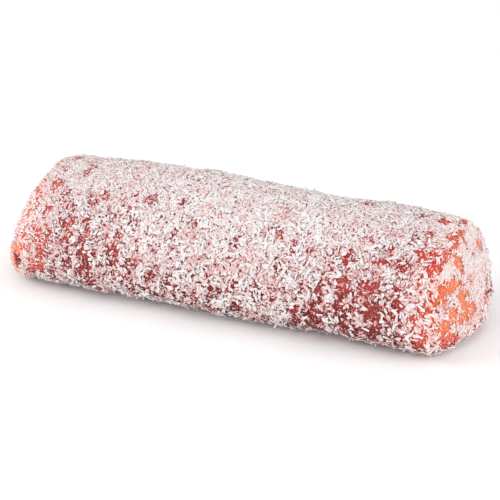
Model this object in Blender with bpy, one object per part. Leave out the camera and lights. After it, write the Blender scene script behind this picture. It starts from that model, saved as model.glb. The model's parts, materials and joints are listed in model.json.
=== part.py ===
"""Raspberry lamington finger: one log of syrup-soaked sponge, rolled in desiccated coconut.

The solid is the whole cake out to the surface of its coconut coat. It lies on its flat base with its
length along X and its domed top up. The origin is the middle of the base. Metres, +Z up.
"""

import math

import bmesh
import bpy
from mathutils import Vector, noise

# Driving dimensions of the finger, over its coat.
LENGTH = 0.120
WIDTH = 0.0425
HEIGHT = 0.0282

# Cross-section: a domed top over a rounded lower edge and a flat base.
WIDEST_HEIGHT = 0.0080  # height at which the section is widest
BASE_ROUND = 0.0095  # how far the lower edge rounds in under the widest point
DOME_POWER = 1.86  # 2 is an ellipse, less is a slacker mound

# Ends, -X then +X: each closes as a rounded nose. The -X end is the slacker of the two.
NOSE_LENGTH = {-1: 0.0095, 1: 0.0073}
NOSE_POWER = {-1: 1.64, 1: 1.85}
NOSE_HEIGHT = 0.0035  # height that the ends close towards

# The -X end was cut at a slant: its top leans inwards and its -Y side is drawn back.
SLANT_REACH = 0.020  # how far from the end the slant is felt
SLANT_PER_HEIGHT = 0.17
SLANT_PER_WIDTH = 0.075

# Hand-made unevenness along the length, as shares of the size in the middle.
SAG_AT_ENDS = 0.090  # the top drops towards both ends
LEAN_TO_PLUS_X = 0.018  # and stands a little higher towards +X
SPREAD_TO_MINUS_X = 0.025  # the finger is wider towards -X

# Soft lumps of the crumb under the coat: (size of a lump, how far it stands out).
LUMPS = ((0.022, 0.00085), (0.010, 0.00050), (0.0052, 0.00022))

# Dents pressed in by hand: (x, angle up from the -Y side in degrees, length, reach round, depth).
DENTS = (
    (-0.0270, 2.0, 0.0022, 20.0, 0.0011),
    (-0.0430, -2.0, 0.0035, 14.0, 0.0007),
    (-0.0375, 31.0, 0.0030, 12.0, 0.0005),
    (0.0287, -2.0, 0.0032, 16.0, 0.0008),
    (0.0345, 14.0, 0.0026, 16.0, 0.0008),
    (0.0409, 17.0, 0.0028, 18.0, 0.0008),
    (0.0420, 49.0, 0.0030, 10.0, 0.0005),
    (-0.0120, 152.0, 0.0050, 22.0, 0.0008),
    (0.0230, 168.0, 0.0036, 20.0, 0.0008),
)

# The crease that runs over the cake where its side meets the +X end.
CREASE_X = 0.0535
CREASE_LENGTH = 0.0011
CREASE_DEPTH = 0.0005

# Mesh density.
NOSE_STATIONS = 12
BODY_STATIONS = 62
DOME_POINTS = 31
EDGE_POINTS = 6

COAT_COLOUR = (0.70, 0.46, 0.45, 1.0)
COAT_ROUGHNESS = 0.75


def signed_power(value, power):
    return math.copysign(abs(value) ** power, value)


def smooth_step(value):
    value = min(1.0, max(0.0, value))
    return value * value * (3 - 2 * value)


def nose_stations(side):
    """(x, share of the full section) from the shoulder of one end to its tip."""
    shoulder = LENGTH / 2 - NOSE_LENGTH[side]
    steps = []
    for i in range(NOSE_STATIONS + 1):
        turn = math.pi / 2 * i / NOSE_STATIONS
        reach = math.sin(turn) ** (2 / NOSE_POWER[side])
        share = math.cos(turn) ** (2 / NOSE_POWER[side]) if i < NOSE_STATIONS else 0.0
        steps.append((side * (shoulder + NOSE_LENGTH[side] * reach), share))
    return steps


def stations():
    """(x, share of the full section) from the -X tip to the +X tip."""
    left = nose_stations(-1)
    right = nose_stations(1)
    start = left[0][0]
    run = right[0][0] - start
    body = [(start + run * i / BODY_STATIONS, 1.0) for i in range(1, BODY_STATIONS)]
    return left[::-1] + body + right


def section(x):
    """The full section's outline at x: (y, z) points, from the +Y edge of the base over the top."""
    along = x / (LENGTH / 2)
    height = HEIGHT * (1 + LEAN_TO_PLUS_X * along**3 - SAG_AT_ENDS * along**4)
    half = WIDTH / 2 * (1 - SPREAD_TO_MINUS_X * along)
    edge = []
    for i in range(EDGE_POINTS):
        turn = math.pi / 2 * i / EDGE_POINTS
        y = half - BASE_ROUND + BASE_ROUND * math.sin(turn)
        edge.append((y, WIDEST_HEIGHT * (1 - math.cos(turn))))
    dome = []
    for i in range(DOME_POINTS):
        turn = math.pi * i / (DOME_POINTS - 1)
        y = half * signed_power(math.cos(turn), 2 / DOME_POWER)
        rise = abs(math.sin(turn)) ** (2 / DOME_POWER)
        dome.append((y, WIDEST_HEIGHT + (height - WIDEST_HEIGHT) * rise))
    other_edge = [(-y, z) for y, z in reversed(edge)]
    return edge + dome + other_edge


def slant(x, y, z):
    """How far the slanted cut moves a point of the -X end along X."""
    felt = smooth_step((SLANT_REACH - LENGTH / 2 - x) / SLANT_REACH)
    return felt * (SLANT_PER_HEIGHT * (z - WIDEST_HEIGHT) - SLANT_PER_WIDTH * y)


def unevenness(point, angle):
    """How far the coat stands out at a point, at this angle in radians up from the -Y side."""
    out = 0.0
    for size, height in LUMPS:
        out += height * noise.noise(point / size + Vector((size, 3.1, 0.7)))
    for place, middle, length, reach, depth in DENTS:
        across = (angle - math.radians(middle)) / math.radians(reach)
        out -= depth * math.exp(-(((point.x - place) / length) ** 2) - across**2)
    return out - CREASE_DEPTH * math.exp(-(((point.x - CREASE_X) / CREASE_LENGTH) ** 2))


def coat_point(x, share, y, z):
    """A point of the section at x, drawn in towards the nose and moved by the slant and the lumps."""
    y = y * share
    z = NOSE_HEIGHT + (z - NOSE_HEIGHT) * share
    point = Vector((x + slant(x, y, z), y, z))
    angle = math.atan2(z - WIDEST_HEIGHT, -y)
    lift = smooth_step(z / WIDEST_HEIGHT)  # none at the base, which stays flat
    out = unevenness(point, angle) * lift
    outward = Vector(((1 - share) * math.copysign(1, x), -share * math.cos(angle), share * math.sin(angle)))
    return point + outward.normalized() * out


def coat_rings(body):
    rings = []
    for x, share in stations():
        outline = section(x) if share > 0.0 else [(0.0, NOSE_HEIGHT)]
        rings.append([body.verts.new(coat_point(x, share, y, z)) for y, z in outline])
    return rings


def bridge(body, near, far):
    """Faces between two neighbouring rings, one of which may be the single point of a tip."""
    count = max(len(near), len(far))
    for i in range(count):
        j = (i + 1) % count
        if len(near) == 1:
            body.faces.new((near[0], far[j], far[i]))
        elif len(far) == 1:
            body.faces.new((near[i], near[j], far[0]))
        else:
            body.faces.new((near[i], near[j], far[j], far[i]))


def settle(body):
    """Stands the finger on z = 0 with the middle of its length and width over the origin."""
    low = Vector(min(v.co[k] for v in body.verts) for k in range(3))
    high = Vector(max(v.co[k] for v in body.verts) for k in range(3))
    middle = (low + high) / 2
    for v in body.verts:
        v.co -= Vector((middle.x, middle.y, low.z))


def coated_finger():
    body = bmesh.new()
    rings = coat_rings(body)
    for near, far in zip(rings, rings[1:]):
        bridge(body, near, far)
    bmesh.ops.recalc_face_normals(body, faces=body.faces)
    settle(body)
    mesh = bpy.data.meshes.new("cake")
    body.to_mesh(mesh)
    body.free()
    mesh.shade_smooth()
    return mesh


def coconut_coat():
    material = bpy.data.materials.new("raspberry_coconut_coat")
    material.use_nodes = True
    shader = material.node_tree.nodes["Principled BSDF"]
    shader.inputs["Base Color"].default_value = COAT_COLOUR
    shader.inputs["Roughness"].default_value = COAT_ROUGHNESS
    shader.inputs["Metallic"].default_value = 0.0
    return material


def main():
    for leftover in list(bpy.data.objects):
        bpy.data.objects.remove(leftover)
    cake = bpy.data.objects.new("cake", coated_finger())
    cake.data.materials.append(coconut_coat())
    bpy.context.scene.collection.objects.link(cake)


main()
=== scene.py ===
# %% [markdown]
# # A raspberry lamington finger
#
# A lamington is a piece of plain sponge, soaked in a coloured syrup and rolled in desiccated coconut
# while it is still wet. This one is a whole finger: a red log with a flat base and a domed top, orange
# where its two ends took up less syrup, and white with coconut that lies thick on top and thin low down.
#
# The lesson builds it in the baker's order: the soaked sponge, a map of where the coconut clings, the
# cuts of coconut, the rolling itself, and then a plain table with soft light. Sizes are in metres, so
# `MM` turns the millimetres that a baker would measure into Blender's unit.

import json
import math
import random

import bmesh
import bpy
import numpy as np
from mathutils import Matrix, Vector, noise

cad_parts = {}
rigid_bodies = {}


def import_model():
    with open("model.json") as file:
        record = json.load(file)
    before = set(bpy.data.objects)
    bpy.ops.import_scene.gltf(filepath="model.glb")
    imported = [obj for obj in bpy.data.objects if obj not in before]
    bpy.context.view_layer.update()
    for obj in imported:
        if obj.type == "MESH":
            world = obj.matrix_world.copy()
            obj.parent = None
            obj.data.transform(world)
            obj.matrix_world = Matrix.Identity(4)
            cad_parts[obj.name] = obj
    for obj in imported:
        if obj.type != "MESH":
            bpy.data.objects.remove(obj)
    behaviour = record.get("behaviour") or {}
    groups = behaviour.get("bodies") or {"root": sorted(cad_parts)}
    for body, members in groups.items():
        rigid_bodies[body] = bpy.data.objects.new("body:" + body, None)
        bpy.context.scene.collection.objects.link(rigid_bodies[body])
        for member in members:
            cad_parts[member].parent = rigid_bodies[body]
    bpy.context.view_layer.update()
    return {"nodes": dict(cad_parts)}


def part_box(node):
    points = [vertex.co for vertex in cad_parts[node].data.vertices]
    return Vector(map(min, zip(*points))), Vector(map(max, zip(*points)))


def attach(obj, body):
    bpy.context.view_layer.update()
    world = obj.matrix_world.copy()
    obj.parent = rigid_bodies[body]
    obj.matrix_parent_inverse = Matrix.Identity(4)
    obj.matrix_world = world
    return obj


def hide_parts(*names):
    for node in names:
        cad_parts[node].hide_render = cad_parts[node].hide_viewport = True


MM = 0.001

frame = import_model()
low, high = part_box("cake")
height = high.z - low.z
print("cake, mm:", [round(side / MM, 1) for side in high - low])

# %% [markdown]
# Both kinds of node tree in this lesson, for shape and for finish, are built by a few small helpers. The
# main one adds a node and plugs things into it. Another makes a geometry tree with named inputs, so that
# a modifier shows the same dials that a baker would name, and one more runs such a tree on a mesh.

# %% Helpers for node trees
def put(tree, kind, inputs=None, **settings):
    """Adds a node with these properties; `inputs` maps a socket to a value or to another socket."""
    node = tree.nodes.new(kind)
    node.location.x = 190 * len(tree.nodes)
    for name, value in settings.items():
        setattr(node, name, value)
    for name, value in (inputs or {}).items():
        socket = node.inputs[name] if isinstance(name, int) else open_socket(node.inputs, name)
        if isinstance(value, bpy.types.NodeSocket):
            tree.links.new(value, socket)
        else:
            socket.default_value = value
    return node


def open_socket(sockets, name):
    """The socket of this name that the node's settings leave in use."""
    return next(s for s in sockets if s.name == name and s.enabled)


def out(node, name=None):
    """A node's output by name, or the only one in use."""
    if name is None:
        return next(s for s in node.outputs if s.enabled)
    return open_socket(node.outputs, name)


def math_of(tree, operation, *values):
    """A sum on single numbers, done by a node."""
    return out(put(tree, "ShaderNodeMath", dict(enumerate(values)), operation=operation))


def vector_of(tree, operation, *values):
    """A sum on vectors, done by a node."""
    inputs = dict(enumerate(values))
    if operation == "SCALE":
        inputs = {"Vector": values[0], "Scale": values[1]}
    return out(put(tree, "ShaderNodeVectorMath", inputs, operation=operation))


def geometry_tree(name, dials):
    """A geometry tree with a named input for each dial, and the node that holds them."""
    tree = bpy.data.node_groups.new(name, "GeometryNodeTree")
    tree.interface.new_socket("Geometry", in_out="INPUT", socket_type="NodeSocketGeometry")
    for dial, kind in dials.items():
        tree.interface.new_socket(dial, in_out="INPUT", socket_type="NodeSocket" + kind)
    tree.interface.new_socket("Geometry", in_out="OUTPUT", socket_type="NodeSocketGeometry")
    return tree, put(tree, "NodeGroupInput")


def grown(name, mesh, tree, settings):
    """Runs a tree on a mesh, with its dials set, and gives the result as a plain mesh object."""
    host = bpy.data.objects.new(name + "_host", mesh)
    bpy.context.scene.collection.objects.link(host)
    modifier = host.modifiers.new(tree.name, "NODES")
    modifier.node_group = tree
    for item in tree.interface.items_tree:
        if item.in_out == "INPUT" and item.name in settings:
            modifier[item.identifier] = settings[item.name]
    host.update_tag()
    depsgraph = bpy.context.evaluated_depsgraph_get()
    made = bpy.data.meshes.new_from_object(host.evaluated_get(depsgraph), depsgraph=depsgraph)
    bpy.data.objects.remove(host)
    piece = bpy.data.objects.new(name, made)
    bpy.context.scene.collection.objects.link(piece)
    return piece


def triangles(mesh):
    """How many triangles a mesh has once every face is cut into them."""
    return sum(len(face.vertices) - 2 for face in mesh.polygons)


# %% [markdown]
# ## Where things are on the cake
#
# The marks on a log are easiest to point at by how far along it they are and by how far up round its
# side: 0 degrees faces the front at the widest part, 90 is straight up, 180 is the back. These two
# numbers place the thin spots of the coat and say where its bits are fine or coarse.

# %% Places on the log
WIDEST_HEIGHT = 0.28 * height


def turn_of(point):
    """The angle up from the front of the log, in degrees, from -90 below to 270."""
    turn = math.degrees(math.atan2(point.z - WIDEST_HEIGHT, -point.y))
    return turn + 360 if turn < -90 else turn


def upward_of(turn):
    """The same angle counted from whichever side is nearer, so 90 is still straight up."""
    return 90 - abs(90 - turn)


def smooth_step(value, start, end):
    """From 0 to 1, softly, as a value goes from `start` to `end`."""
    share = min(1.0, max(0.0, (value - start) / (end - start)))
    return share * share * (3 - 2 * share)


print("widest at, mm:", round(WIDEST_HEIGHT / MM, 1))


# %% [markdown]
# ## Syrup-soaked sponge
#
# Between the flakes shows wet sponge with a fine open crumb. It is deepest red at the foot and brighter
# higher up: partly syrup that sank, partly painted shade, since less light falls low down.
# Towards both ends it turns scarlet and then orange, and the foot stays red further out, again partly
# painted shade. Two places stay red
# though they are near the ends: a knob of crumb that stands out of the right end, and a hollow low on
# the left. Both are named here, because the colour and the shape need them.

# %% Colours along the log
DEEP_RED = (0.13, 0.006, 0.005, 1)
BRIGHT_RED = (0.52, 0.036, 0.028, 1)
SCARLET = (0.61, 0.050, 0.027, 1)
END_ORANGE = (0.80, 0.205, 0.058, 1)
SYRUP_MIDDLE = 3 * MM  # along the log, where the syrup is darkest
SCARLET_FROM, SCARLET_AT = 47 * MM, 53 * MM  # how far out from there each colour comes on
ORANGE_FROM, ORANGE_AT = 55 * MM, 59 * MM
KNOB = Vector((59.0, 6.5, 10.0)) * MM
HOLLOW = Vector((-50.6, -20.8, 7.0)) * MM


def out_from_middle(tree, middle=SYRUP_MIDDLE):
    """How far a place is from where the syrup is darkest, along the log, in metres."""
    place = out(put(tree, "ShaderNodeTexCoord"), "Object")
    along = out(put(tree, "ShaderNodeSeparateXYZ", {"Vector": place}), "X")
    return math_of(tree, "ABSOLUTE", math_of(tree, "SUBTRACT", along, middle))


def height_in(tree):
    """How high a place is above the table."""
    place = out(put(tree, "ShaderNodeTexCoord"), "Object")
    return out(put(tree, "ShaderNodeSeparateXYZ", {"Vector": place}), "Z")


def stretch_of(tree, value, start, end):
    """From 0 to 1, softly, as a value goes from `start` to `end`."""
    inputs = {"Value": value, "From Min": start, "From Max": end}
    return out(put(tree, "ShaderNodeMapRange", inputs, interpolation_type="SMOOTHSTEP"))


def blend(tree, share, first, second):
    """A mix of two colours."""
    inputs = {0: share, 6: first, 7: second}
    return put(tree, "ShaderNodeMix", inputs, data_type="RGBA").outputs[2]


# %% Finish of the soaked sponge
BLOTCHES_PER_METRE, CRUMBS_PER_METRE = 420.0, 1900.0
# partly painted shade: the red is darker low down, where less light falls, as well as where the syrup sank
RED_BRIGHTER_UP_PER_METRE = 0.03 / MM  # how fast the red brightens with height
RAGGED_BY = 5 * MM  # how far the blotches move the changes of colour along the log
FOOT_LOW, FOOT_HIGH = 1 * MM, 7 * MM  # below the first the foot counts fully, above the second not at all
# partly painted shade: the foot keeps its red further out towards both ends, as well as for the syrup that
# sank there
FOOT_REDDER_BY = 14 * MM  # how much further out the colours change at the foot
RED_PLACE, RED_PLACE_ENDS = 2 * MM, 3 * MM


def colour_along(tree, place, blotches):
    """Red in the middle of the log, then scarlet, then orange at its ends, with ragged changes."""
    # partly painted shade: the sponge red darkens towards the foot, besides its blotches of uneven syrup
    syrup_and_shade = math_of(tree, "MULTIPLY_ADD", height_in(tree), RED_BRIGHTER_UP_PER_METRE, blotches)
    red = blend(tree, stretch_of(tree, syrup_and_shade, 1.0, 1.9), DEEP_RED, BRIGHT_RED)
    # partly painted shade: at the foot the red reaches further towards the ends
    foot = math_of(tree, "SUBTRACT", 1.0, stretch_of(tree, height_in(tree), FOOT_LOW, FOOT_HIGH))
    middle = math_of(tree, "MULTIPLY_ADD", foot, -SYRUP_MIDDLE, SYRUP_MIDDLE)
    outwards = math_of(tree, "MULTIPLY_ADD", blotches, RAGGED_BY, out_from_middle(tree, middle))
    outwards = math_of(tree, "MULTIPLY_ADD", foot, -FOOT_REDDER_BY, outwards)
    colour = blend(tree, stretch_of(tree, outwards, SCARLET_FROM, SCARLET_AT), red, SCARLET)
    colour = blend(tree, stretch_of(tree, outwards, ORANGE_FROM, ORANGE_AT), colour, END_ORANGE)
    for red_place in (KNOB, HOLLOW):
        away = vector_of(tree, "DISTANCE", place, red_place)
        colour = blend(tree, stretch_of(tree, away, RED_PLACE, RED_PLACE_ENDS), red, colour)
    return colour


def soaked_sponge():
    """Wet crumb: uneven syrup in blotches and grains, red painted darker low down, partly for sunken syrup
    and partly as painted shade, and a pitted, slightly glossy surface.
    """
    material = bpy.data.materials.new("soaked_sponge")
    material.use_nodes = True
    tree = material.node_tree
    shader = tree.nodes["Principled BSDF"]
    place = out(put(tree, "ShaderNodeTexCoord"), "Object")
    inputs = {"Vector": place, "Scale": BLOTCHES_PER_METRE, "Detail": 3.0}
    blotch = put(tree, "ShaderNodeTexNoise", inputs)
    inputs = {"Vector": place, "Scale": CRUMBS_PER_METRE, "Detail": 2.0}
    crumb = put(tree, "ShaderNodeTexNoise", inputs)
    both = math_of(tree, "ADD", blotch.outputs["Fac"], crumb.outputs["Fac"])
    tree.links.new(colour_along(tree, place, both), shader.inputs["Base Color"])
    inputs = {"Height": crumb.outputs["Fac"], "Strength": 0.9, "Distance": 0.35 * MM}
    bump = put(tree, "ShaderNodeBump", inputs)
    tree.links.new(bump.outputs["Normal"], shader.inputs["Normal"])
    shader.inputs["Roughness"].default_value = 0.42
    shader.inputs["Specular IOR Level"].default_value = 0.3
    return material


sponge_finish = soaked_sponge()
print("finish:", sponge_finish.name)

# %% [markdown]
# The sponge itself lies under the coat. Its shape follows the cake's own outline, so the tree takes that
# outline, refines it, draws it in by the thickness of the coat and roughens it twice: soft lumps the
# size of a lentil and an open crumb the size of a poppy seed. The outline comes as loose triangles, so
# it is welded first, and flat neighbours are joined, because four-sided faces refine more evenly.

# %% Outline of the cake
def outline_mesh():
    """The cake's outline as welded four-sided faces, ready to be refined."""
    mesh = bpy.data.meshes.new("outline")
    body = bmesh.new()
    body.from_mesh(frame["nodes"]["cake"].data)
    bmesh.ops.remove_doubles(body, verts=body.verts, dist=0.01 * MM)
    flat_enough = math.radians(40)
    limits = {"angle_face_threshold": flat_enough, "angle_shape_threshold": math.pi}
    bmesh.ops.join_triangles(body, faces=body.faces, **limits)
    body.to_mesh(mesh)
    body.free()
    return mesh


outline = outline_mesh()
print("outline faces:", len(outline.polygons))

# %% Tree that makes the sponge
SPONGE_DIALS = {
    "Coat thickness": "Float",
    "Lump size": "Float",
    "Lump height": "Float",
    "Crumb size": "Float",
    "Crumb height": "Float",
    "Material": "Material",
}


def relief(tree, size, height_of):
    """A soft noise of this size that moves the surface by this height to either side."""
    scale = math_of(tree, "DIVIDE", 1.0, size)
    field = put(tree, "ShaderNodeTexNoise", {"Scale": scale, "Detail": 1.0})
    tree.links.new(out(put(tree, "GeometryNodeInputPosition")), field.inputs["Vector"])
    centred = math_of(tree, "SUBTRACT", field.outputs["Fac"], 0.5)
    return math_of(tree, "MULTIPLY", centred, math_of(tree, "MULTIPLY", height_of, 2.0))


def sponge_tree():
    """Refines an outline, moves its skin inwards and makes it lumpy and pitted."""
    tree, dials = geometry_tree("Soaked sponge", SPONGE_DIALS)
    fine = put(tree, "GeometryNodeSubdivisionSurface", {"Mesh": dials.outputs["Geometry"], "Level": 2})
    lumps = relief(tree, dials.outputs["Lump size"], dials.outputs["Lump height"])
    crumb = relief(tree, dials.outputs["Crumb size"], dials.outputs["Crumb height"])
    both = math_of(tree, "ADD", lumps, crumb)
    inwards = math_of(tree, "SUBTRACT", both, dials.outputs["Coat thickness"])
    move = vector_of(tree, "SCALE", out(put(tree, "GeometryNodeInputNormal")), inwards)
    moved = put(tree, "GeometryNodeSetPosition", {"Geometry": out(fine), "Offset": move})
    smooth = put(tree, "GeometryNodeSetShadeSmooth", {"Geometry": out(moved), "Shade Smooth": True})
    inputs = {"Geometry": out(smooth), "Material": dials.outputs["Material"]}
    finished = put(tree, "GeometryNodeSetMaterial", inputs)
    put(tree, "NodeGroupOutput", {"Geometry": out(finished)})
    return tree


# %% Make the sponge
sponge = grown(
    "soaked_sponge",
    outline,
    sponge_tree(),
    {
        "Coat thickness": 0.75 * MM,
        "Lump size": 4.0 * MM,
        "Lump height": 0.50 * MM,
        "Crumb size": 1.1 * MM,
        "Crumb height": 0.16 * MM,
        "Material": sponge_finish,
    },
)
print("sponge triangles:", triangles(sponge.data))

# %% [markdown]
# Handling left three more marks. Fingers pulled out the knob and pressed in the hollow, each a push on
# the points around one place that fades with distance. And the foot of a soft log never meets the table
# in a straight line, so a slow wave along it moves the rim in and out, and lifts it where it is in.

# %% Knob, hollow and wavy foot
WAVE_LENGTH = 4.5 * MM
SIDES_APART = 9.3  # reads the wave at a different place for each side, so that they differ


def pushed(mesh, middle, reach, push):
    """Moves the points near a place, all the way close to it and not at all beyond `reach`."""
    for vertex in mesh.vertices:
        nearness = 1 - smooth_step((vertex.co - middle).length, 0.3 * reach, reach)
        vertex.co += push * nearness


def waved_foot(mesh, out_and_in, lift):
    """Moves the rim of the foot by a slow wave along both long sides."""
    for vertex in mesh.vertices:
        side = math.copysign(1, vertex.co.y)
        wave = noise.noise(Vector((vertex.co.x / WAVE_LENGTH, SIDES_APART * side, 0)))
        foot = 1 - smooth_step(vertex.co.z, 1.0 * MM, 6.0 * MM)
        foot *= smooth_step(abs(vertex.co.y), 13 * MM, 18 * MM)
        vertex.co.y += side * out_and_in * wave * foot
        vertex.co.z += lift * max(0, -wave) * foot


pushed(sponge.data, KNOB, reach=2.2 * MM, push=Vector((1.8, 0, 0)) * MM)
pushed(sponge.data, HOLLOW, reach=2.4 * MM, push=Vector((0.8, 1.4, 0.2)) * MM)
waved_foot(sponge.data, out_and_in=1.3 * MM, lift=1.6 * MM)

# %% [markdown]
# ## Where the coconut clings
#
# The cake was rolled and then set down: coconut lies thick on the top and wears thin low on the sides,
# in many small bare spots and in a crease where the side meets the right end. The map is one number for
# each point of the sponge, from 0 for bare to 1 for thick, kept on the mesh as the attribute `cover`.
# The spots are listed one by one, as a decorator would place them, because chance alone puts them in the
# wrong places.

# %% Thin spots of the coat
# (along in mm, turn in degrees, half length in mm, half reach in degrees, how bare)
FRONT_SPOTS = (
    (-49.6, 6, 1.2, 3.5, 0.95),
    (-51.0, 1, 1.8, 4, 0.90),
    (-50.6, -2, 1.4, 5, 0.95),
    (-53.2, -4, 2.4, 6, 0.97),
    (-47.0, 15, 1.4, 7, 0.45),
    (-44.5, 17, 0.9, 4, 0.50),
    (-44.6, -3, 1.3, 4, 0.85),
    (-43.4, 7, 0.8, 6, 0.85),
    (-41.8, 20, 1.0, 5, 0.70),
    (-44.2, 58, 1.1, 5, 0.80),
    (-43.5, 36, 0.9, 5, 0.65),
    (-47.5, 40, 1.0, 7, 0.30),
    (-38.4, 30, 0.9, 7, 0.75),
    (-37.0, 17, 1.0, 8, 0.50),
    (-38.0, 42, 1.2, 4, 0.50),
    (-36.4, 2, 0.9, 7, 0.60),
    (-38.8, 80, 0.9, 9, 0.60),
    (-33.5, 49, 1.2, 3, 0.60),
    (-31.0, 52, 0.8, 4, 0.70),
    (-31.0, 2, 0.7, 8, 0.95),
    (-30.6, -9, 0.8, 5, 0.95),
    (-45.0, 92, 1.2, 6, 0.65),
    (-45.0, 76, 1.2, 4, 0.6),
    (-48.5, 84, 1.2, 6, 0.65),
    (-32.0, 31, 0.9, 4, 0.6),
    (-32.0, 6, 0.9, 4, 0.7),
    (-49.5, 58, 1.4, 9, 0.75),
    (-49.0, 34, 1.1, 5, 0.45),
    (-36.0, 32, 1.2, 4, 0.7),
    (-41.0, 50, 0.9, 6, 0.6),
    (-21.0, 38, 1.0, 4, 0.6),
    (29.0, 34, 0.8, 3, 0.4),
    (24.0, 40, 1.2, 3, 0.5),
    (-32.8, 15, 1.2, 5, 0.85),
    (-27.5, 40, 1.0, 3, 0.30),
    (-24.6, 14, 1.6, 7, 0.80),
    (-23.6, 28, 1.0, 6, 0.65),
    (-23.6, 46, 0.7, 3, 0.60),
    (-19.0, 57, 1.6, 2.6, 0.70),
    (-19.6, 8, 1.1, 5, 0.75),
    (-19.8, -11, 1.1, 3, 0.80),
    (-14.4, 3, 1.2, 5, 0.70),
    (-12.2, -11, 1.2, 3, 0.70),
    (-10.8, 61, 0.9, 4, 0.70),
    (-10.4, 36, 0.7, 2, 0.60),
    (-7.0, 47, 1.1, 3, 0.65),
    (-5.0, 40, 0.7, 3, 0.35),
    (-9.8, 1, 1.1, 5, 0.60),
    (-3.6, -7, 1.0, 4, 0.60),
    (1.8, 2, 1.8, 3, 0.80),
    (2.0, -12, 1.4, 2, 0.80),
    (5.2, 35, 0.8, 3, 0.65),
    (8.4, -8, 1.6, 4, 0.85),
    (12.6, 9, 1.0, 6, 0.60),
    (13.0, 53, 0.9, 3, 0.65),
    (15.2, 47, 1.1, 3, 0.75),
    (16.2, 27, 0.8, 4, 0.50),
    (19.8, 40, 1.0, 6, 0.60),
    (21.2, -12, 1.3, 4, 0.90),
    (22.6, -4, 0.9, 4, 0.85),
    (24.2, 15, 1.0, 5, 0.65),
    (26.4, -14, 1.4, 5, 0.95),
    (26.8, 0, 1.0, 5, 0.85),
    (27.8, 13, 0.8, 4, 0.70),
    (29.6, 41, 1.0, 4, 0.65),
    (28.8, 22, 1.2, 5, 0.85),
    (32.8, 39, 0.9, 6, 0.75),
    (33.2, 22, 1.1, 5, 0.75),
    (33.2, 9, 1.3, 5, 0.95),
    (34.3, -9, 1.0, 3, 0.85),
    (37.6, -8, 0.8, 3, 0.80),
    (36.0, 3, 0.9, 6, 0.60),
    (38.4, 22, 1.1, 5, 0.90),
    (41.3, 24, 1.1, 4, 0.90),
    (39.2, 11, 1.0, 5, 0.85),
    (41.0, 9, 1.2, 6, 0.90),
    (42.4, -2, 1.4, 4, 0.80),
    (40.8, -11, 1.0, 3, 0.80),
    (47.6, -9, 1.0, 3, 0.85),
    (51.5, -11, 1.2, 3, 0.85),
    (44.4, 11, 0.6, 2, 0.40),
    (41.4, 53, 1.1, 3, 0.65),
    (41.8, 44, 3.0, 2, 0.80),
    (46.6, 16, 1.0, 1.5, 0.85),
    (46.6, 43, 0.9, 3, 0.70),
    (54.4, 88, 0.5, 3, 0.60),
    (49.2, 54, 1.2, 4, 0.85),
    (48.6, 73, 1.2, 3, 0.80),
    (45.8, 67, 0.7, 2.5, 0.55),
    (49.9, 92, 1.5, 4, 0.95),
    (51.8, 56, 0.8, 3, 0.80),
    (51.6, 47, 0.8, 3.5, 0.80),
    (52.0, 18, 1.0, 4, 0.45),
    (53.2, 2, 0.9, 4, 0.55),
    (54.2, 20, 0.8, 4, 0.75),
    (55.4, 3, 0.8, 3, 0.75),
    (56.5, 18, 0.6, 5, 0.60),
    (6.8, 8, 1.1, 3, 0.50),
    (44.0, 93, 1.2, 2, 0.85),
    (31.0, 96, 1.2, 4, 0.75),
    (53.3, 48, 0.35, 4, 0.85),
    (53.0, 40, 0.5, 4, 0.75),
    (54.4, 66, 0.35, 3, 0.85),
    (54.2, 57, 0.35, 4, 0.85),
    (45.6, 38, 0.8, 2, 0.60),
    (50.6, 38, 0.7, 3, 0.60),
    (57.2, 44, 0.8, 6, 0.85),
    (54.3, 78, 0.6, 3.0, 0.95),
    (54.8, 74, 0.4, 2.0, 0.90),
    (54.9, 88, 0.7, 2.2, 0.90),
)
BACK_SPOTS = (
    (-41.0, 158, 1.6, 12, 0.80),
    (-28.5, 176, 2.0, 6, 0.85),
    (-22.0, 133, 1.4, 6, 0.60),
    (-13.5, 185, 2.2, 5, 0.80),
    (-6.0, 164, 1.5, 7, 0.75),
    (4.0, 181, 1.8, 6, 0.85),
    (12.5, 150, 1.8, 5, 0.65),
    (19.0, 172, 1.4, 9, 0.85),
    (28.0, 186, 2.4, 5, 0.80),
    (36.0, 160, 1.7, 8, 0.80),
    (46.5, 175, 1.6, 8, 0.85),
)
print("thin spots:", len(FRONT_SPOTS), "in front,", len(BACK_SPOTS), "behind")

# %% Bare patches of the right-hand end
# (y and z in mm, half width and half height in mm, how bare)
END_SPOTS = (
    (-6.0, 19.6, 1.7, 2.4, 1.0),
    (-12.5, 16.4, 4.2, 1.7, 1.0),
    (-15.5, 14.7, 2.2, 1.3, 0.95),
    (-8.3, 12.6, 1.4, 1.8, 0.95),
    (-11.8, 9.6, 2.2, 1.9, 0.9),
    (-5.6, 8.8, 2.9, 2.8, 0.95),
    (-9.2, 8.2, 1.9, 1.3, 0.85),
    (-14.8, 7.4, 1.6, 2.8, 0.95),
    (-12.6, 4.1, 2.6, 1.7, 1.0),
    (-16.6, 4.4, 1.5, 1.2, 0.60),
    (-18.2, 9.6, 1.1, 3.0, 0.8),
    (-3.2, 15.0, 1.6, 1.4, 0.7),
    (6.2, 20.0, 2.6, 1.8, 1.0),
    (1.0, 19.8, 1.2, 0.8, 0.6),
    (-0.8, 25.8, 1.7, 0.9, 0.95),
    (9.5, 22.2, 1.3, 1.0, 0.8),
    (5.2, 8.3, 2.8, 1.5, 0.9),
    (8.8, 5.4, 1.4, 1.9, 0.7),
    (12.5, 14.0, 1.9, 2.2, 0.8),
    (14.5, 8.5, 1.7, 2.4, 0.8),
    (6.5, 10.0, 1.4, 1.6, 0.8),
)

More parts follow.
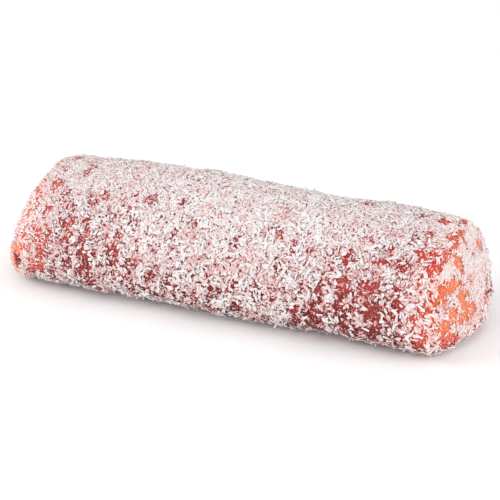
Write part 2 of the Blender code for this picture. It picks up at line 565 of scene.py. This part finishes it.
# %% Where the coat is even, thick or thin
def built_up(base, changes, along, upward):
    """A value that changes step by step over stretches along the log, in mm, or up its side, in degrees."""
    where = {"along": along, "upward": upward}
    for amount, *stretches in changes:
        for direction, start, end in stretches:
            amount *= smooth_step(where[direction], start, end)
        base += amount
    return base


FOOT_COVER = 0.66
# each row: how much the cover changes, and the stretches over which the change comes on
COVER_CHANGES = (
    (0.32, ("upward", -10, 64)),  # thick on top
    (-0.08, ("upward", -6, -14)),  # worn off where the side turns under
    (-0.11, ("along", 12, 30), ("upward", 46, 12), ("along", 54, 44)),  # thinner low on the right
    (-0.14, ("along", 24, 40), ("upward", 85, 55)),  # thinner on the whole right half, below its crest
    (-0.14, ("along", -20, -32), ("upward", 80, 40)),  # and on the left part
    (0.06, ("along", -38, -46), ("upward", 50, 30)),  # fuller low on the left end
    (-0.07, ("along", -44, -48), ("upward", 30, 50)),  # thinner high on the left end
    (0.10, ("along", 45, 50), ("upward", 45, 25)),  # fuller low beside the right end
    (0.22, ("along", 53.5, 55)),  # full on the right end itself
)
print("cover on top, in the middle:", built_up(FOOT_COVER, COVER_CHANGES, 0, 90))

# %% [markdown]
# Three things break up the even coat: small gaps of a millimetre or two all over, the spots, and the
# crease. Edges are ragged, because a noise shifts every place a little before it is looked up. The
# noise that gives a direction starts from the clock unless it is given a seed, so it is given one.

# %% Gaps, spots and crease
RAGGED_SEED = 1
RAGGED_SIZE = 1.5 * MM
GAP_SIZE, SMALL_GAP_SIZE = 2.3 * MM, 1.1 * MM
SPREAD_MM, SPREAD_DEGREES = 0.35, 1.5  # how much larger a spot is than its row in the tables says
CREASE_MM, CREASE_WANDER_MM = 53.2, 1.2
NOSE_MM = 54.5  # where the right-hand end begins
BAREST = 0.05
noise.seed_set(RAGGED_SEED)


def spot_off(first, second, middle_first, middle_second, reach_first, reach_second):
    """How far a place is from the middle of an oval spot, as a square: 1 is on the edge."""
    first_share = (first - middle_first) / reach_first
    second_share = (second - middle_second) / reach_second
    return first_share**2 + second_share**2


def small_gap(point, thick):
    """1 inside the many small gaps of the coat, which are more common where it is thin."""
    speckle = noise.noise(point / GAP_SIZE) + 0.7 * noise.noise(point / SMALL_GAP_SIZE)
    rare = 0.06 + 0.75 * smooth_step(thick, 0.35, 1.05)
    return smooth_step(speckle, rare, rare + 0.22)


def left_by_spots(along, turn):
    """The share of the coat that the spots on the sides leave at a place."""
    left = 1.0
    for place, middle, length, reach, bare in FRONT_SPOTS + BACK_SPOTS:
        off = spot_off(along, turn, place, middle, length + SPREAD_MM, reach + SPREAD_DEGREES)
        if off < 2:
            left *= 1 - bare * smooth_step(off, 1.6, 0.6)
    return left


def left_by_end_spots(across, up):
    """The share of the coat that the patches on the right-hand end leave at a place."""
    left = 1.0
    for y, z, width, tall, bare in END_SPOTS:
        off = spot_off(across, up, y, z, width, tall)
        if off < 2:
            left *= 1 - bare * smooth_step(off, 1.4, 0.7)
    return left


def crease_depth(point, turn):
    """1 in the middle of the crease, where it is worn, and 0 beside it."""
    off = abs(point.x / MM - CREASE_MM - CREASE_WANDER_MM * noise.noise(point / (6 * MM)))
    worn = smooth_step(noise.noise(point / (5 * MM)), -0.25, 0.1) * smooth_step(turn, 15, 50)
    return worn * smooth_step(off, 1.2, 0.5)


def cover_at(point):
    """How thick the coconut lies at a point of the sponge, from 0 to 1."""
    ragged = noise.noise_vector(point / RAGGED_SIZE)
    along = point.x / MM + 0.8 * ragged.x
    turn = turn_of(point) + 4 * ragged.y
    thick = built_up(FOOT_COVER, COVER_CHANGES, along, upward_of(turn))
    thick *= 1 - 0.85 * small_gap(point, thick)
    thick *= left_by_spots(along, turn)
    if point.x > NOSE_MM * MM:
        thick *= left_by_end_spots(point.y / MM + 0.7 * ragged.x, point.z / MM + 0.7 * ragged.y)
    thick *= 1 - 0.85 * crease_depth(point, turn)
    return max(BAREST, thick)


def noted(mesh, name, value_at):
    """Keeps a value for each point of a mesh as an attribute, and says how large it is on average."""
    values = [value_at(vertex.co) for vertex in mesh.vertices]
    mesh.attributes.new(name, "FLOAT", "POINT").data.foreach_set("value", values)
    return sum(values) / len(values)


print("mean cover:", round(noted(sponge.data, "cover", cover_at), 2))

# %% [markdown]
# The bits are not the same size everywhere: fine on the left, where the cake was dusted with what was
# left at the bottom of the dish, and coarse low on the right. A second attribute, `coarse`, holds a
# factor for their size. Where bits are smaller, more of them go on, so the cover stays the same.

# %% Coarse and fine
LEFT_COARSENESS = 0.72
COARSE_CHANGES = (
    (0.28, ("along", -46, -24)),  # full size away from the left end
    (-0.10, ("upward", 35, 75)),  # finer on top
    (0.10, ("along", 12, 35), ("upward", 55, 20)),  # coarse low on the right
    (-0.25, ("along", 53, 56)),  # fine on the right end
    (0.4, ("upward", -30, -60)),  # coarse underneath
)


def coarse_at(point):
    """A factor for the size of the bits at a point of the sponge."""
    return built_up(LEFT_COARSENESS, COARSE_CHANGES, point.x / MM, upward_of(turn_of(point)))


def clinging_area(mesh, power):
    """The area of the sponge, each part counted by its cover and by how fine its bits are."""
    cover = np.empty(len(mesh.vertices))
    coarse = np.empty(len(mesh.vertices))
    mesh.attributes["cover"].data.foreach_get("value", cover)
    mesh.attributes["coarse"].data.foreach_get("value", coarse)
    shares = cover**power / coarse**2
    return sum(face.area * shares[list(face.vertices)].mean() for face in mesh.polygons)


print("mean coarseness:", round(noted(sponge.data, "coarse", coarse_at), 2))
print("clinging area, cm2:", round(clinging_area(sponge.data, 1) * 1e4, 1))

# %% [markdown]
# ## Cuts of coconut
#
# Desiccated coconut is grated white flesh, dried. Under a lens no two bits are alike: broad flakes,
# stubby chips, a few long slivers, crumbs and dust. There are tens of thousands on the cake, so each is
# a closed solid of only 4 to 20 faces. A flake is a ragged plate with a low peak, a chip has a ridge
# like a roof, a sliver is a slightly bent strip, and crumbs and dust are three-sided grains. A small
# flat map on each, `OFBake`, gives every bit its own corner of one shared picture.

# %% Flakes and chips
def flake(draw, length, width, thickness, corners):
    """A thin flake: a ragged outline of a few corners round a low peak."""
    body = bmesh.new()
    start = draw.uniform(0, math.tau)
    cup = draw.uniform(-0.2, 0.8) * thickness
    ring = []
    for i in range(corners):
        turn = start + math.tau * (i + draw.uniform(-0.25, 0.25)) / corners
        reach = draw.uniform(0.76, 1.14)
        x = length / 2 * reach * math.cos(turn)
        y = width / 2 * reach * math.sin(turn)
        ring.append(body.verts.new((x, y, cup * (2 * x / length) ** 2)))
    off_centre = (draw.uniform(-0.18, 0.18) * length, draw.uniform(-0.18, 0.18) * width)
    peak = body.verts.new((*off_centre, thickness))
    for i in range(corners):
        body.faces.new((ring[i], ring[(i + 1) % corners], peak))
    body.faces.new(ring)
    return body


def chip(draw, length, width, thickness, corners):
    """A compact chip: a four-sided foot with a ridge along its top, like a roof."""
    body = bmesh.new()
    foot = []
    for x, y in ((-1, -1), (1, -1), (1, 1), (-1, 1))[:corners]:
        place = (x * length / 2 * draw.uniform(0.7, 1.1), y * width / 2 * draw.uniform(0.7, 1.1), 0)
        foot.append(body.verts.new(place))
    ridge = []
    for x in (-1, 1):
        along = x * length / 2 * draw.uniform(0.35, 0.95)
        across = width * draw.uniform(-0.3, 0.3)
        ridge.append(body.verts.new((along, across, thickness * draw.uniform(0.7, 1.2))))
    body.faces.new(foot)
    body.faces.new((foot[0], foot[1], ridge[1], ridge[0]))
    body.faces.new((foot[2], foot[3], ridge[0], ridge[1]))
    body.faces.new((foot[1], foot[2], ridge[1]))
    body.faces.new((foot[3], foot[0], ridge[0]))
    return body


# %% Slivers and grains
def strip(draw, length, width, thickness, joints):
    """A slightly bent and twisted strip, narrower at its tips, made of a few cross-sections."""
    body = bmesh.new()
    curl = draw.uniform(-0.05, 0.05) * length
    sweep = draw.uniform(-0.05, 0.05) * length
    twist = draw.uniform(-0.6, 0.6)
    rings = []
    for i in range(joints):
        along = i / (joints - 1) - 0.5
        bow = 1 - 4 * along * along
        middle = Vector((along * length, sweep * bow, curl * bow))
        narrow = 1 - draw.uniform(0.1, 0.5) * (2 * abs(along)) ** 2
        ring = []
        for side, face in ((-1, -1), (1, -1), (1, 1), (-1, 1)):
            y = side * width / 2 * narrow * draw.uniform(0.85, 1.15)
            z = face * thickness / 2 * draw.uniform(0.7, 1.1)
            turned = Vector((0, y, z + y * twist * along))
            ring.append(body.verts.new(middle + turned))
        rings.append(ring)
    body.faces.new(reversed(rings[0]))
    body.faces.new(rings[-1])
    for near, far in zip(rings, rings[1:]):
        for i in range(4):
            j = (i + 1) % 4
            body.faces.new((near[i], near[j], far[j], far[i]))
    return body


def grain(draw, length, width, thickness, points):
    """A three-sided grain, with a peak on both sides or, with one point, only on top."""
    body = bmesh.new()
    ring = []
    for i in range(3):
        turn = math.tau * (i + draw.uniform(-0.2, 0.2)) / 3
        ring.append(body.verts.new((length / 2 * math.cos(turn), width / 2 * math.sin(turn), 0)))
    for side in (1, -1)[:points]:
        offset = (draw.uniform(-0.15, 0.15) * length, draw.uniform(-0.15, 0.15) * width)
        peak = body.verts.new((*offset, side * thickness * draw.uniform(0.5, 0.8)))
        for i in range(3):
            body.faces.new((ring[i], ring[(i + 1) % 3], peak))
    if points == 1:
        body.faces.new(ring)
    return body


# %% One cut of coconut
def cut(name, form, length, width, thickness, detail):
    """The finished mesh of one bit, with its outline mapped flat to fill a square."""
    body = form(random.Random(name), length, width, thickness, detail)
    bmesh.ops.recalc_face_normals(body, faces=body.faces)
    bmesh.ops.triangulate(body, faces=body.faces)
    flat_map = body.loops.layers.uv.new("OFBake")
    for face in body.faces:
        for loop in face.loops:
            place = (loop.vert.co.x / length, loop.vert.co.y / width)
            loop[flat_map].uv = [min(1, max(0, 0.5 + 0.8 * share)) for share in place]
    mesh = bpy.data.meshes.new(name)
    body.to_mesh(mesh)
    body.free()
    return mesh


# kind: (form, length, width and thickness in mm, how many peaks, corners or cross-sections)
CUTS = {
    "dust": (grain, 0.40, 0.32, 0.20, 1),
    "crumbs": (grain, 0.66, 0.50, 0.24, 2),
    "stained_flakes": (flake, 1.35, 0.85, 0.13, 5),
    "chips": (chip, 1.40, 0.60, 0.18, 4),
    "broad_flakes": (flake, 1.55, 0.80, 0.13, 6),
    "slivers": (strip, 1.80, 0.36, 0.20, 3),
}
SHAPES_EACH = 9


def cut_shapes(kind):
    """A collection of a few different bits of one kind, for the rolling to pick from."""
    form, length, width, thickness, detail = CUTS[kind]
    shapes = bpy.data.collections.new(kind + "_shapes")
    for i in range(SHAPES_EACH):
        mesh = cut(f"{kind}_{i}", form, length * MM, width * MM, thickness * MM, detail)
        shapes.objects.link(bpy.data.objects.new(f"{kind}_{i}", mesh))
    return shapes


shapes = {kind: cut_shapes(kind) for kind in CUTS}
faces_each = {kind: len(shapes[kind].objects[0].data.polygons) for kind in CUTS}
print("faces each:", faces_each)

# %% [markdown]
# Dry coconut is off-white and a little see-through. Where it touches the syrup it takes up pink, and a
# paler orange pink near the ends. The stain is uneven within one bit, so fine flecks are added to it. The
# rolling leaves two numbers on every bit for this: `soak`, how close it lies to the wet sponge, and
# `tint`, a shade of its own.

# %% Finish of the coconut
MID_STAIN = (0.55, 0.115, 0.105, 1)
END_STAIN = (0.93, 0.34, 0.26, 1)
BLUSH = (0.90, 0.76, 0.75, 1)  # dry flesh near the ends takes on a share of this
BLUSH_SHARE = 0.35
END_STAIN_FROM, END_STAIN_AT = 42 * MM, 54 * MM
FLECKS_PER_METRE = 2900.0


def dry_coconut(name, pale, shaded, least_stain, most_stain):
    """Flesh between two shades, stained from the least to the most as a bit lies closer to the syrup."""
    material = bpy.data.materials.new(name)
    material.use_nodes = True
    tree = material.node_tree
    shader = tree.nodes["Principled BSDF"]
    tint = put(tree, "ShaderNodeAttribute", attribute_name="tint").outputs["Fac"]
    soak = put(tree, "ShaderNodeAttribute", attribute_name="soak").outputs["Fac"]
    at_ends = stretch_of(tree, out_from_middle(tree), END_STAIN_FROM, END_STAIN_AT)
    flesh = blend(tree, math_of(tree, "POWER", tint, 1.6), pale, shaded)
    flesh = blend(tree, math_of(tree, "MULTIPLY", at_ends, BLUSH_SHARE), flesh, BLUSH)
    stain = blend(tree, at_ends, MID_STAIN, END_STAIN)
    wet = math_of(tree, "POWER", soak, 1.6)
    inputs = {"Value": wet, "To Min": least_stain, "To Max": most_stain}
    share = out(put(tree, "ShaderNodeMapRange", inputs))
    place = out(put(tree, "ShaderNodeTexCoord"), "Object")
    inputs = {"Vector": place, "Scale": FLECKS_PER_METRE, "Detail": 1.0}
    pattern = put(tree, "ShaderNodeTexNoise", inputs)
    fleck = stretch_of(tree, pattern.outputs["Fac"], 0.57, 0.64)
    strength = math_of(tree, "MULTIPLY_ADD", soak, 0.78, 0.18)
    share = math_of(tree, "MULTIPLY_ADD", fleck, strength, share)
    tree.links.new(blend(tree, share, flesh, stain), shader.inputs["Base Color"])
    shader.inputs["Roughness"].default_value = 0.6
    shader.inputs["Specular IOR Level"].default_value = 0.15
    shader.inputs["Subsurface Weight"].default_value = 0.08
    shader.inputs["Subsurface Radius"].default_value = (1.0, 0.8, 0.75)
    shader.inputs["Subsurface Scale"].default_value = 0.5 * MM
    return material


WHITE = dry_coconut(
    "dry_coconut",
    pale=(0.768, 0.754, 0.753, 1),
    shaded=(0.745, 0.716, 0.712, 1),
    least_stain=0.0,
    most_stain=0.60,
)
PINK = dry_coconut(
    "stained_coconut",
    pale=(0.80, 0.745, 0.74, 1),
    shaded=(0.78, 0.63, 0.62, 1),
    least_stain=0.05,
    most_stain=0.80,
)
print("finishes:", WHITE.name, PINK.name)

# %% [markdown]
# ## Rolling the cake in coconut
#
# Rolling by hand presses thousands of bits on at random, which is just what Geometry Nodes scatter well.
# One tree does every kind of cut: it drops points on the sponge, more where `cover` is high, lifts each
# a little, turns and tips it, and sets one of the shapes there. Bits pile up in low mounds, and lie lower
# and flatter where the coat is thick and packed. They then become real mesh. Those near the table are
# squeezed towards it, and each notes how near the wet sponge it lies.

# %% Tree that rolls the cake
ROLL_DIALS = {
    "Shapes": "Collection",
    "Kinds": "Int",
    "Bits per square metre": "Float",
    "Cover power": "Float",
    "Lowest lift": "Float",
    "Highest lift": "Float",
    "Clump size": "Float",
    "Tip": "Float",
    "Smallest": "Float",
    "Largest": "Float",
    "Soak depth": "Float",
    "Cells across": "Int",
    "Table gap": "Float",
    "Seed": "Int",
    "Material": "Material",
}


def random_of(tree, data_type, seed, least, most):
    """A random value for each bit."""
    inputs = {"Min": least, "Max": most, "Seed": seed}
    return out(put(tree, "FunctionNodeRandomValue", inputs, data_type=data_type), "Value")


def stored(tree, geometry, name, value, data_type, domain):
    """The geometry with a value kept on it under a name."""
    inputs = {"Geometry": geometry, "Name": name, "Value": value}
    settings = {"data_type": data_type, "domain": domain}
    return out(put(tree, "GeometryNodeStoreNamedAttribute", inputs, **settings))


def read(tree, name, data_type):
    """The value kept under a name."""
    node = put(tree, "GeometryNodeInputNamedAttribute", {"Name": name}, data_type=data_type)
    return out(node, "Attribute")


PACKED = 0.6  # in the thickest coat bits lie this much lower
PACKED_TIP = 0.4  # and are tipped up this much less


def looseness(tree, least):
    """1 where the coat is thin, falling to `least` where it is thick and packed."""
    inputs = {"Value": read(tree, "cover", "FLOAT"), "From Min": 0.65, "To Min": 1.0, "To Max": least}
    return out(put(tree, "ShaderNodeMapRange", inputs))


def clumps(tree, dials):
    """A factor for the lift, high on the soft mounds where bits piled up and low between them."""
    scale = math_of(tree, "DIVIDE", 1.0, dials["Clump size"])
    field = put(tree, "ShaderNodeTexNoise", {"Scale": scale, "Detail": 1.0})
    tree.links.new(out(put(tree, "GeometryNodeInputPosition")), field.inputs["Vector"])
    inputs = {
        "Value": field.outputs["Fac"],
        "From Min": 0.32,
        "From Max": 0.68,
        "To Min": 0.45,
        "To Max": 1.5,
    }
    return out(put(tree, "ShaderNodeMapRange", inputs))


def scattered_points(tree, dials, seeds):
    """Points on the sponge with a lift, and the turn that lays a bit flat on the skin there."""
    clinging = math_of(tree, "POWER", read(tree, "cover", "FLOAT"), dials["Cover power"])
    smallness = math_of(tree, "POWER", read(tree, "coarse", "FLOAT"), -2.0)
    density = math_of(tree, "MULTIPLY", clinging, dials["Bits per square metre"])
    density = math_of(tree, "MULTIPLY", density, smallness)
    inputs = {"Mesh": dials["Geometry"], "Density": density, "Seed": dials["Seed"]}
    points = put(tree, "GeometryNodeDistributePointsOnFaces", inputs)
    lift = random_of(tree, "FLOAT", seeds[0], dials["Lowest lift"], dials["Highest lift"])
    lift = math_of(tree, "MULTIPLY", lift, clumps(tree, dials))
    lift = math_of(tree, "MULTIPLY", lift, read(tree, "coarse", "FLOAT"))
    lift = math_of(tree, "MULTIPLY", lift, looseness(tree, PACKED))
    offset = vector_of(tree, "SCALE", points.outputs["Normal"], lift)
    inputs = {"Geometry": points.outputs["Points"], "Offset": offset}
    return out(put(tree, "GeometryNodeSetPosition", inputs)), points.outputs["Rotation"]


def thrown_turn(tree, dials, seeds, lying):
    """The lying turn, spun at random about the skin's normal and then tipped up a little."""
    spin = random_of(tree, "FLOAT_VECTOR", seeds[1], (0, 0, 0), (0, 0, math.tau))
    tips = random_of(tree, "FLOAT_VECTOR", seeds[2], (-1, -1, 0), (1, 1, 0))
    mostly_flat = vector_of(tree, "MULTIPLY", tips, vector_of(tree, "ABSOLUTE", tips))
    tip = math_of(tree, "MULTIPLY", dials["Tip"], looseness(tree, PACKED_TIP))
    tipped = vector_of(tree, "SCALE", mostly_flat, tip)
    for euler in (spin, tipped):
        step = out(put(tree, "FunctionNodeEulerToRotation", {"Euler": euler}))
        inputs = {"Rotation": lying, "Rotate By": step}
        lying = out(put(tree, "FunctionNodeRotateRotation", inputs, rotation_space="LOCAL"))
    return lying


def bits_on_points(tree, dials, seeds, points, turn):
    """One of the shapes on each point, with a size, a shade and a cell of the shared picture each."""
    inputs = {"Collection": dials["Shapes"], "Separate Children": True, "Reset Children": True}
    bits = put(tree, "GeometryNodeCollectionInfo", inputs)
    last = math_of(tree, "SUBTRACT", dials["Kinds"], 1)
    size = random_of(tree, "FLOAT", seeds[3], dials["Smallest"], dials["Largest"])
    size = math_of(tree, "MULTIPLY", size, read(tree, "coarse", "FLOAT"))
    stretch = random_of(tree, "FLOAT_VECTOR", seeds[4], (0.8, 0.8, 0.8), (1.25, 1.2, 1.2))
    inputs = {
        "Points": points,
        "Instance": out(bits),
        "Pick Instance": True,
        "Instance Index": random_of(tree, "INT", seeds[5], 0, last),
        "Rotation": turn,
        "Scale": vector_of(tree, "SCALE", stretch, size),
    }
    placed = out(put(tree, "GeometryNodeInstanceOnPoints", inputs))
    shade = random_of(tree, "FLOAT", seeds[6], 0.0, 1.0)
    placed = stored(tree, placed, "tint", shade, "FLOAT", "INSTANCE")
    index = out(put(tree, "GeometryNodeInputIndex"))
    placed = stored(tree, placed, "cell", index, "INT", "INSTANCE")
    return out(put(tree, "GeometryNodeRealizeInstances", {"Geometry": placed}))


def pressed_on_table(tree, dials, mesh):
    """Points near the table are squeezed towards it without ever passing through."""
    place = put(tree, "ShaderNodeSeparateXYZ", {"Vector": out(put(tree, "GeometryNodeInputPosition"))})
    gap = dials["Table gap"]
    below = math_of(tree, "DIVIDE", math_of(tree, "SUBTRACT", place.outputs["Z"], gap), gap)
    squeezed = math_of(tree, "MULTIPLY", math_of(tree, "EXPONENT", below), gap)
    is_low = math_of(tree, "LESS_THAN", place.outputs["Z"], gap)
    inputs = {"X": place.outputs["X"], "Y": place.outputs["Y"], "Z": squeezed}
    low_place = out(put(tree, "ShaderNodeCombineXYZ", inputs))
    inputs = {"Geometry": mesh, "Selection": is_low, "Position": low_place}
    return out(put(tree, "GeometryNodeSetPosition", inputs))


CELL_SHARE = (0.7, 0.7, 0)  # the part of its cell that a bit's map fills
CELL_MARGIN = (0.15, 0.15, 0)


def marked(tree, dials, mesh):
    """Notes on every point how near the wet sponge it lies, and moves each bit's map into its cell."""
    near = put(tree, "GeometryNodeProximity", target_element="FACES")
    tree.links.new(dials["Geometry"], near.inputs[0])
    depth = math_of(tree, "MULTIPLY", dials["Soak depth"], read(tree, "coarse", "FLOAT"))
    depth = math_of(tree, "MULTIPLY", depth, looseness(tree, PACKED))
    inputs = {
        "Value": near.outputs["Distance"],
        "From Min": 0.0,
        "From Max": depth,
        "To Min": 1.0,
        "To Max": 0.0,
    }
    soak = out(put(tree, "ShaderNodeMapRange", inputs))
    mesh = stored(tree, mesh, "soak", soak, "FLOAT", "POINT")
    cell = read(tree, "cell", "INT")
    column = math_of(tree, "MODULO", cell, dials["Cells across"])
    row = math_of(tree, "FLOOR", math_of(tree, "DIVIDE", cell, dials["Cells across"]))
    corner = out(put(tree, "ShaderNodeCombineXYZ", {"X": column, "Y": row, "Z": 0.0}))
    flat = read(tree, "OFBake", "FLOAT_VECTOR")
    own = vector_of(tree, "MULTIPLY_ADD", flat, CELL_SHARE, CELL_MARGIN)
    share = math_of(tree, "DIVIDE", 1.0, dials["Cells across"])
    spot = vector_of(tree, "SCALE", vector_of(tree, "ADD", corner, own), share)
    return stored(tree, mesh, "OFBake", spot, "FLOAT2", "CORNER")


RANDOM_CHOICES = 7  # lift, spin, tips, size, stretch, shape and shade
SEED_STEP = 11


def roll_tree():
    """The whole rolling: points, their turns, the bits, the squeeze on the table and the marks."""
    tree, start = geometry_tree("Roll in coconut", ROLL_DIALS)
    dials = {socket.name: socket for socket in start.outputs if socket.name}
    steps = [SEED_STEP * i for i in range(1, RANDOM_CHOICES + 1)]
    seeds = [math_of(tree, "ADD", dials["Seed"], step) for step in steps]
    points, lying = scattered_points(tree, dials, seeds)
    turn = thrown_turn(tree, dials, seeds, lying)
    mesh = bits_on_points(tree, dials, seeds, points, turn)
    mesh = marked(tree, dials, pressed_on_table(tree, dials, mesh))
    inputs = {"Geometry": mesh, "Material": dials["Material"]}
    put(tree, "NodeGroupOutput", {"Geometry": out(put(tree, "GeometryNodeSetMaterial", inputs))})
    return tree


rolling = roll_tree()
print("nodes in the rolling tree:", len(rolling.nodes))

# %% [markdown]
# The kinds go on in layers. Dust clings to the syrup itself, and most of all where the coat is thin.
# Crumbs and stained flakes come next. Chips, broad flakes and slivers lie over them, and the first two
# of these follow the cover most strictly, so that the bare spots stay clear.

# %% Roll the cake
# kind: (how many, cover power, lowest and highest lift in mm, tip in degrees, smallest, largest, finish)
LAYERS = {
    "dust": (46000, -0.15, 0.00, 0.12, 50, 0.5, 1.4, PINK),
    "crumbs": (30000, 0.5, 0.02, 0.48, 60, 0.6, 1.3, WHITE),
    "stained_flakes": (13500, 0.9, 0.04, 0.30, 40, 0.5, 1.2, PINK),
    "chips": (23500, 1.2, 0.08, 0.55, 45, 0.5, 1.2, WHITE),
    "broad_flakes": (18500, 1.3, 0.12, 0.58, 38, 0.5, 1.1, WHITE),
    "slivers": (3600, 1.0, 0.12, 0.75, 75, 0.5, 1.15, WHITE),
}
SOAK_DEPTH = 0.8 * MM  # how far from the sponge the stain reaches
TABLE_GAP = 0.4 * MM  # how far above the table bits begin to be squeezed
CLUMP = 3.4 * MM
SPARE_CELLS = 1.05  # the shared picture has room for a few more bits than are expected
coconut = []
for seed, (kind, layer) in enumerate(LAYERS.items(), 1):
    count, power, lowest, highest, tip, smallest, largest, finish = layer
    piece = grown(
        "coconut_" + kind,
        sponge.data.copy(),
        rolling,
        {
            "Shapes": shapes[kind],
            "Kinds": SHAPES_EACH,
            "Bits per square metre": count / clinging_area(sponge.data, power),
            "Cover power": power,
            "Lowest lift": lowest * MM,
            "Highest lift": highest * MM,
            "Clump size": CLUMP,
            "Tip": math.radians(tip),
            "Smallest": smallest,
            "Largest": largest,
            "Soak depth": SOAK_DEPTH,
            "Cells across": math.ceil(math.sqrt(SPARE_CELLS * count)),
            "Table gap": TABLE_GAP,
            "Seed": seed,
            "Material": finish,
        },
    )
    coconut.append(piece)
    print(piece.name, "triangles:", triangles(piece.data))

for collection in shapes.values():
    for shape in list(collection.objects):
        bpy.data.objects.remove(shape)

# %% [markdown]
# ## Say what the pieces are
#
# The sponge stands for the plain solid. It and every kind of coconut go wherever the cake goes.

# %% Hand the pieces to the frame
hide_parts("cake")
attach(sponge, "root")
for piece in coconut:
    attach(piece, "root")
print("pieces:", [sponge.name] + [piece.name for piece in coconut])

# %% [markdown]
# ## A plain table and soft light
#
# The table is a pale matt board. White food needs light from all round, or its shaded side goes grey, so
# the room itself is bright. Broad soft lamps at both ends rake along the coat to show its relief, a weak
# one hangs above and another in front, and a low one reaches under the bulge of the near side.

# %% Table
BOARD_SIZE = 6.0
BOARD_WHITE = (0.93, 0.93, 0.93, 1)


def matt(name, colour):
    """A dull finish of one colour."""
    material = bpy.data.materials.new(name)
    material.use_nodes = True
    shader = material.node_tree.nodes["Principled BSDF"]
    shader.inputs["Base Color"].default_value = colour
    shader.inputs["Roughness"].default_value = 0.9
    return material


def table_top(size):
    """A flat square that the cake stands on, kept out of the part itself."""
    mesh = bpy.data.meshes.new("table")
    half = size / 2
    corners = [(-half, -half, 0), (half, -half, 0), (half, half, 0), (-half, half, 0)]
    mesh.from_pydata(corners, [], [(0, 1, 2, 3)])
    mesh.materials.append(matt("pale_board", BOARD_WHITE))
    table = bpy.data.objects.new("table", mesh)
    bpy.context.scene.collection.objects.link(table)
    return table


print("table:", table_top(BOARD_SIZE).name)

# %% Light
# name: (place in metres, size in metres, power in watts)
LAMPS = {
    "lamp_above": ((0.0, 0.1, 0.8), 0.7, 0.2),
    "lamp_left": ((-0.65, -0.35, 0.45), 0.5, 2.9),
    "lamp_right": ((0.8, 0.05, 0.28), 0.5, 2.4),
    "lamp_front": ((0.15, -0.8, 0.4), 0.6, 0.7),
    "lamp_low": ((-0.15, -0.8, 0.07), 0.4, 2.05),
}
ROOM_LIGHT = 0.83


def lamp(name, place, size, power):
    """A broad square lamp that faces the cake."""
    light = bpy.data.lights.new(name, "AREA")
    light.size = size
    light.energy = power
    holder = bpy.data.objects.new(name, light)
    holder.location = place
    holder.rotation_euler = (-Vector(place)).to_track_quat("-Z", "Y").to_euler()
    bpy.context.scene.collection.objects.link(holder)
    return holder


for name, (place, size, power) in LAMPS.items():
    lamp(name, place, size, power)

world = bpy.data.worlds.new("studio")
world.use_nodes = True
room = world.node_tree.nodes["Background"]
room.inputs["Color"].default_value = (1, 1, 1, 1)
room.inputs["Strength"].default_value = ROOM_LIGHT
bpy.context.scene.world = world
bpy.context.scene.view_settings.view_transform = "Standard"
print("lamps:", len(LAMPS))

# %% [markdown]
# The camera stands well back with a long lens, as for a portrait of the cake, to the right of its front
# and a little above. It aims slightly below the log's middle and to its right, so the log sits a little
# high and to the left in the picture.

# %% Camera
AZIMUTH, ELEVATION = math.radians(25.1), math.radians(23.0)
DISTANCE = 0.541
LENS = 164.4
MIDDLE_HEIGHT = 14.5 * MM
AIM_RIGHT, AIM_DOWN = 1.6 * MM, 3.4 * MM
back = Vector(
    (
        math.sin(AZIMUTH) * math.cos(ELEVATION),
        -math.cos(AZIMUTH) * math.cos(ELEVATION),
        math.sin(ELEVATION),
    )
)
right = Vector((math.cos(AZIMUTH), math.sin(AZIMUTH), 0))
up = back.cross(right)
middle = Vector((0, 0, MIDDLE_HEIGHT))
aim = middle + AIM_RIGHT * right - AIM_DOWN * up

camera_data = bpy.data.cameras.new("camera")
camera_data.lens = LENS
camera = bpy.data.objects.new("camera", camera_data)
camera.location = middle + DISTANCE * back
camera.rotation_euler = (aim - camera.location).to_track_quat("-Z", "Y").to_euler()
bpy.context.scene.collection.objects.link(camera)
bpy.context.scene.camera = camera
print("camera, mm:", [round(side / MM) for side in camera.location])
